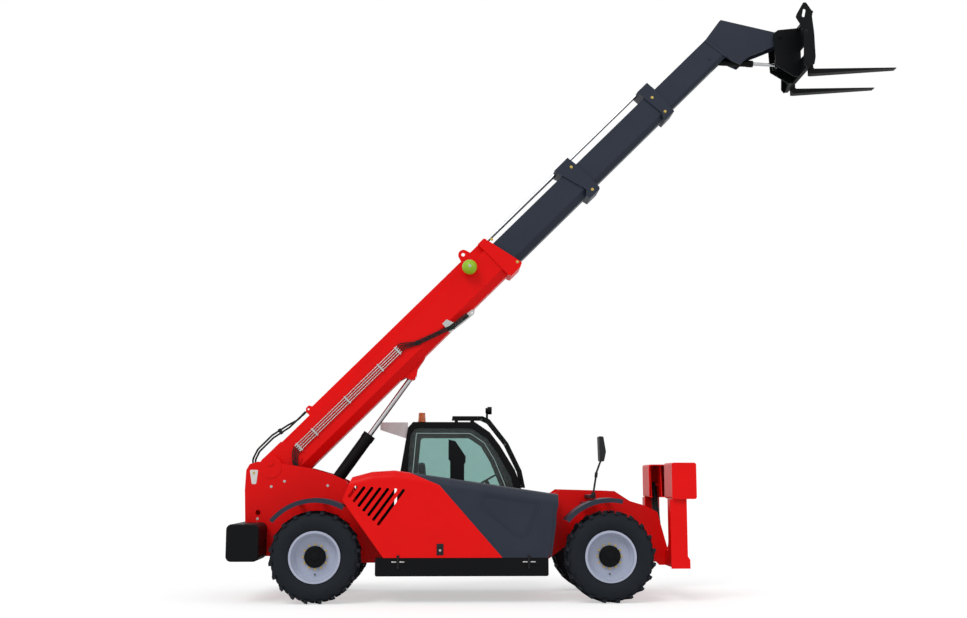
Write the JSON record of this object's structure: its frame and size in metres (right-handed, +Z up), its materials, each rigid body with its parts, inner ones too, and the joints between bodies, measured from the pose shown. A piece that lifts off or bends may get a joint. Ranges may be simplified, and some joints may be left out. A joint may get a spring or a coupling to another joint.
{
  "type": "telehandler",
  "caption": "Telescopic handler with a lifting and extending boom, tilting fork carriage, side cab, hinged engine hood, steered wheels and front stabilisers.",
  "frame": {"origin": "on the ground under the middle of the whole machine as stored", "axes": "+X forward, the way the boom reaches; +Y to the machine's left, the cab side; +Z up"},
  "size_m": [9.2024, 2.3368, 8.3035],
  "materials": {
    "red_paint": "gloss",
    "black_paint": "satin",
    "blue_grey_paint": "satin",
    "silver_paint": "satin",
    "lime_paint": "gloss",
    "cast_iron": "rough",
    "black_plastic": "matte",
    "light_plastic": "matte",
    "amber_lens": "gloss",
    "tinted_glass": "clear",
    "seat_cover": "woven",
    "chrome_rod": "polished",
    "zinc_steel": "satin",
    "hose_rubber": "matte",
    "tyre_rubber": "matte"
  },
  "bodies": {
    "chassis": {"chassis_frame": "red_paint", "counterweight": "black_paint", "axle_front": "black_paint", "axle_rear": "black_paint", "fenders": "blue_grey_paint", "side_skirt": "black_paint", "engine": "cast_iron", "left_tank": "black_paint", "cab_shell": "black_paint", "cab_glass": "tinted_glass", "seat": "seat_cover", "cab_console": "black_plastic", "roof_guard": "black_paint", "beacon": "amber_lens", "rear_visor": "light_plastic", "mirrors": "black_plastic", "exhaust": "black_paint", "cooler": "black_paint"},
    "engine_hood": {"hood_rear": "red_paint", "hood_front": "blue_grey_paint"},
    "cab_door": {"cab_door": "black_paint", "door_glass": "tinted_glass"},
    "boom": {"boom_base": "red_paint", "boom_pipes": "zinc_steel", "boom_hoses": "hose_rubber", "tower_hoses": "hose_rubber", "accumulator": "lime_paint"},
    "second_section": {"boom_section_2": "blue_grey_paint", "telescope_stage_1": "chrome_rod"},
    "third_section": {"boom_section_3": "blue_grey_paint", "telescope_stage_2": "chrome_rod"},
    "inner_section": {"boom_section_4": "blue_grey_paint"},
    "fork_carriage": {"carriage": "black_paint", "forks": "black_paint"},
    "lift_rod": {"lift_rod": "chrome_rod"},
    "lift_barrel": {"lift_barrel": "black_paint"},
    "tilt_barrel": {"tilt_barrel": "black_paint"},
    "tilt_rod": {"tilt_rod": "chrome_rod"},
    "knuckle_front_right": {"knuckle_front_right": "black_paint"},
    "wheel_front_right": {"rim_front_right": "silver_paint", "tyre_front_right": "tyre_rubber"},
    "knuckle_front_left": {"knuckle_front_left": "black_paint"},
    "wheel_front_left": {"rim_front_left": "silver_paint", "tyre_front_left": "tyre_rubber"},
    "knuckle_rear_right": {"knuckle_rear_right": "black_paint"},
    "wheel_rear_right": {"rim_rear_right": "silver_paint", "tyre_rear_right": "tyre_rubber"},
    "knuckle_rear_left": {"knuckle_rear_left": "black_paint"},
    "wheel_rear_left": {"rim_rear_left": "silver_paint", "tyre_rear_left": "tyre_rubber"},
    "stabiliser_arm_right": {"stabiliser_arm_right": "red_paint"},
    "stabiliser_barrel_right": {"stabiliser_barrel_right": "black_paint"},
    "stabiliser_rod_right": {"stabiliser_rod_right": "chrome_rod"},
    "stabiliser_arm_left": {"stabiliser_arm_left": "red_paint"},
    "stabiliser_barrel_left": {"stabiliser_barrel_left": "black_paint"},
    "stabiliser_rod_left": {"stabiliser_rod_left": "chrome_rod"}
  },
  "joints": [
    {"name": "steer_front_right", "type": "hinge", "parent": "chassis", "child": "knuckle_front_right", "pos_m": [0.33, -0.8, 0.5875], "axis": [0, 0, 1], "range_deg": [-30, 30]},
    {"name": "roll_front_right", "type": "hinge", "parent": "knuckle_front_right", "child": "wheel_front_right", "pos_m": [0.33, -0.965, 0.5875], "axis": [0, 1, 0], "continuous": true},
    {"name": "steer_front_left", "type": "hinge", "parent": "chassis", "child": "knuckle_front_left", "pos_m": [0.33, 0.8, 0.5875], "axis": [0, 0, 1], "range_deg": [-30, 30]},
    {"name": "roll_front_left", "type": "hinge", "parent": "knuckle_front_left", "child": "wheel_front_left", "pos_m": [0.33, 0.965, 0.5875], "axis": [0, 1, 0], "continuous": true},
    {"name": "steer_rear_right", "type": "hinge", "parent": "chassis", "child": "knuckle_rear_right", "pos_m": [-3.47, -0.8, 0.5875], "axis": [0, 0, 1], "range_deg": [-30, 30]},
    {"name": "roll_rear_right", "type": "hinge", "parent": "knuckle_rear_right", "child": "wheel_rear_right", "pos_m": [-3.47, -0.965, 0.5875], "axis": [0, 1, 0], "continuous": true},
    {"name": "steer_rear_left", "type": "hinge", "parent": "chassis", "child": "knuckle_rear_left", "pos_m": [-3.47, 0.8, 0.5875], "axis": [0, 0, 1], "range_deg": [-30, 30]},
    {"name": "roll_rear_left", "type": "hinge", "parent": "knuckle_rear_left", "child": "wheel_rear_left", "pos_m": [-3.47, 0.965, 0.5875], "axis": [0, 1, 0], "continuous": true},
    {"name": "boom_lift", "type": "hinge", "parent": "chassis", "child": "boom", "pos_m": [-4.159, 0, 1.801], "axis": [0, -1, 0], "range_deg": [-46.9, 25.1]},
    {"name": "lift_rod_pivot", "type": "hinge", "parent": "boom", "child": "lift_rod", "pos_m": [-2.26255, 0, 3.00755], "axis": [0, -1, 0], "range_deg": [-2.26, 4.22]},
    {"name": "lift_barrel_slide", "type": "slide", "parent": "lift_rod", "child": "lift_barrel", "axis": [-0.5814, 0, -0.8136], "range_m": [-0.70431, 0.37694]},
    {"name": "telescope_1", "type": "slide", "parent": "boom", "child": "second_section", "axis": [0.7083, 0, 0.7059], "range_m": [-1.29, 1.3]},
    {"name": "telescope_2", "type": "slide", "parent": "second_section", "child": "third_section", "axis": [0.7083, 0, 0.7059], "range_m": [-1.32066, 1.3309]},
    {"name": "telescope_3", "type": "slide", "parent": "third_section", "child": "inner_section", "axis": [0.7083, 0, 0.7059], "range_m": [-1.0005, 1.00826]},
    {"name": "carriage_tilt", "type": "hinge", "parent": "inner_section", "child": "fork_carriage", "pos_m": [3.03738, 0, 7.96008], "axis": [0, 1, 0], "range_deg": [-52, 55]},
    {"name": "tilt_barrel_pivot", "type": "hinge", "parent": "inner_section", "child": "tilt_barrel", "pos_m": [2.00299, 0, 7.61681], "axis": [0, -1, 0], "range_deg": [-2.08, 2.2]},
    {"name": "tilt_rod_slide", "type": "slide", "parent": "tilt_barrel", "child": "tilt_rod", "axis": [0.9994, 0, -0.0358], "range_m": [-0.29773, 0.28149]},
    {"name": "stabiliser_right", "type": "hinge", "parent": "chassis", "child": "stabiliser_arm_right", "pos_m": [1.25, -0.95, 0.54], "axis": [1, 0, 0], "range_deg": [0, 105]},
    {"name": "stabiliser_barrel_pivot_right", "type": "hinge", "parent": "stabiliser_arm_right", "child": "stabiliser_barrel_right", "pos_m": [1.25, -0.95, 1.5], "axis": [1, 0, 0], "range_deg": [-24.02, 0]},
    {"name": "stabiliser_rod_slide_right", "type": "slide", "parent": "stabiliser_barrel_right", "child": "stabiliser_rod_right", "axis": [0, 0.4755, -0.8797], "range_m": [0, 0.56656]},
    {"name": "stabiliser_left", "type": "hinge", "parent": "chassis", "child": "stabiliser_arm_left", "pos_m": [1.25, 0.95, 0.54], "axis": [-1, 0, 0], "range_deg": [0, 105]},
    {"name": "stabiliser_barrel_pivot_left", "type": "hinge", "parent": "stabiliser_arm_left", "child": "stabiliser_barrel_left", "pos_m": [1.25, 0.95, 1.5], "axis": [-1, 0, 0], "range_deg": [-24.02, 0]},
    {"name": "stabiliser_rod_slide_left", "type": "slide", "parent": "stabiliser_barrel_left", "child": "stabiliser_rod_left", "axis": [0, -0.4755, -0.8797], "range_m": [0, 0.56656]},
    {"name": "hood_hinge", "type": "hinge", "parent": "chassis", "child": "engine_hood", "pos_m": [-2.27, -0.44, 1.56], "axis": [-1, 0, 0], "range_deg": [0, 55]},
    {"name": "door_hinge", "type": "hinge", "parent": "chassis", "child": "cab_door", "pos_m": [-2.265, 1.14, 1.2], "axis": [0, 0, 1], "range_deg": [0, 85]}
  ],
  "couplings": [
    {"joint": "steer_front_left", "follows": "steer_front_right", "ratio": 1},
    {"joint": "steer_rear_right", "follows": "steer_front_right", "ratio": -1},
    {"joint": "steer_rear_left", "follows": "steer_front_right", "ratio": -1},
    {"joint": "lift_rod_pivot", "follows": "boom_lift", "ratio": -0.09},
    {"joint": "lift_barrel_slide", "follows": "boom_lift", "m_per_rad": 0.86},
    {"joint": "telescope_2", "follows": "telescope_1", "ratio": 1.0233},
    {"joint": "telescope_3", "follows": "telescope_1", "ratio": 0.77519},
    {"joint": "tilt_barrel_pivot", "follows": "carriage_tilt", "ratio": 0.04},
    {"joint": "tilt_rod_slide", "follows": "carriage_tilt", "m_per_rad": -0.31},
    {"joint": "stabiliser_barrel_pivot_right", "follows": "stabiliser_right", "ratio": -0.2286},
    {"joint": "stabiliser_rod_slide_right", "follows": "stabiliser_right", "m_per_rad": 0.309},
    {"joint": "stabiliser_barrel_pivot_left", "follows": "stabiliser_left", "ratio": -0.2286},
    {"joint": "stabiliser_rod_slide_left", "follows": "stabiliser_left", "m_per_rad": 0.309}
  ]
}
